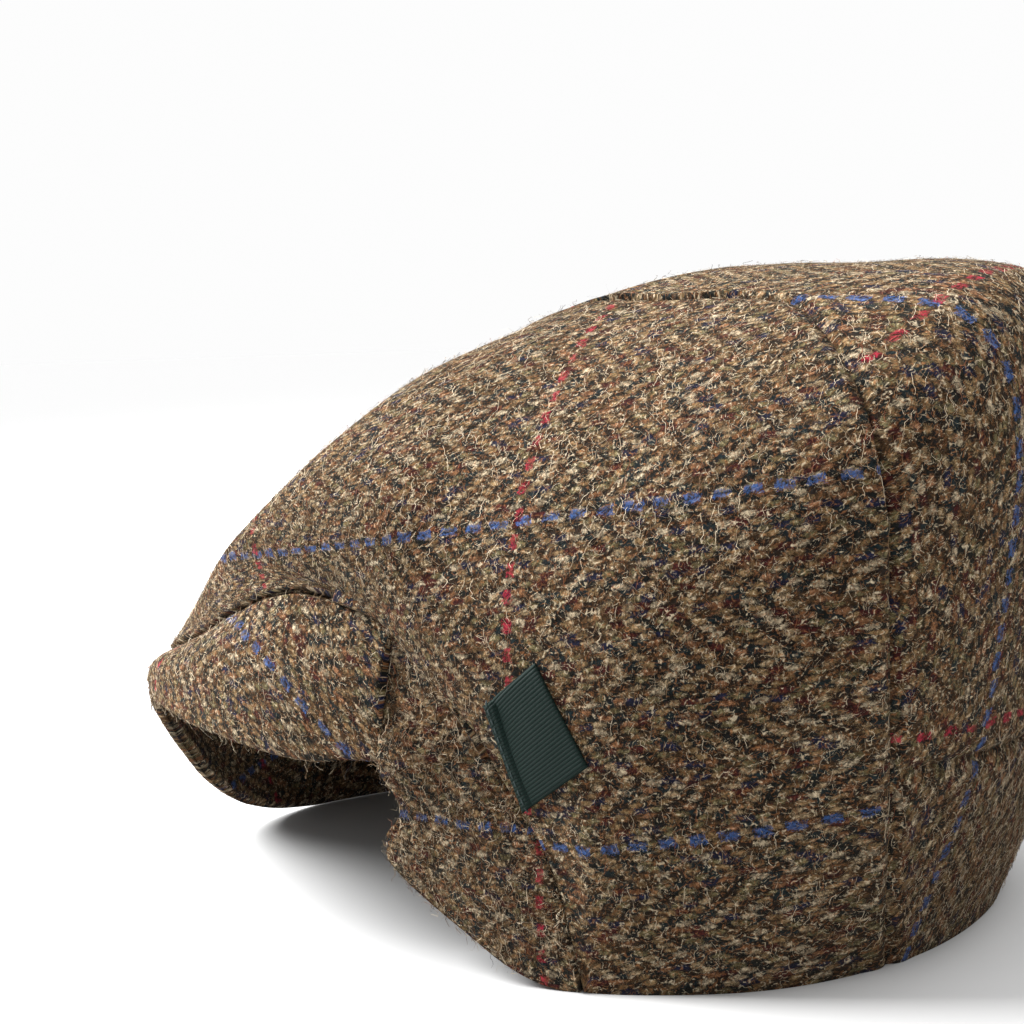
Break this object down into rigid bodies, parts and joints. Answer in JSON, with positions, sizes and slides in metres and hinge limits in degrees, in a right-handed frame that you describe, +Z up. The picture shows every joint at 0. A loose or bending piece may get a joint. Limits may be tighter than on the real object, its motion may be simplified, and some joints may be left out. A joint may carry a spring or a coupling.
{
  "type": "flat cap",
  "caption": "Flat cap of herringbone tweed with a faint overcheck, a full soft crown, a short stiff peak and a small bare ribbon label.",
  "frame": {"origin": "on the floor below the middle of the cap's outline", "axes": "peak to -Y, wearer's left to +X, +Z up, as the cap stands by itself"},
  "size_m": [0.199, 0.2628, 0.1649],
  "materials": {
    "tweed": "brown wool herringbone with fine crimson and blue lines",
    "ribbon": "bottle green ribbed ribbon"
  },
  "bodies": {
    "root": {"side_panel_left": "tweed", "side_panel_right": "tweed", "top_panel": "tweed", "back_band": "tweed", "front_wing_left": "tweed", "front_wing_right": "tweed", "peak": "tweed", "label": "ribbon"}
  },
  "joints": []
}
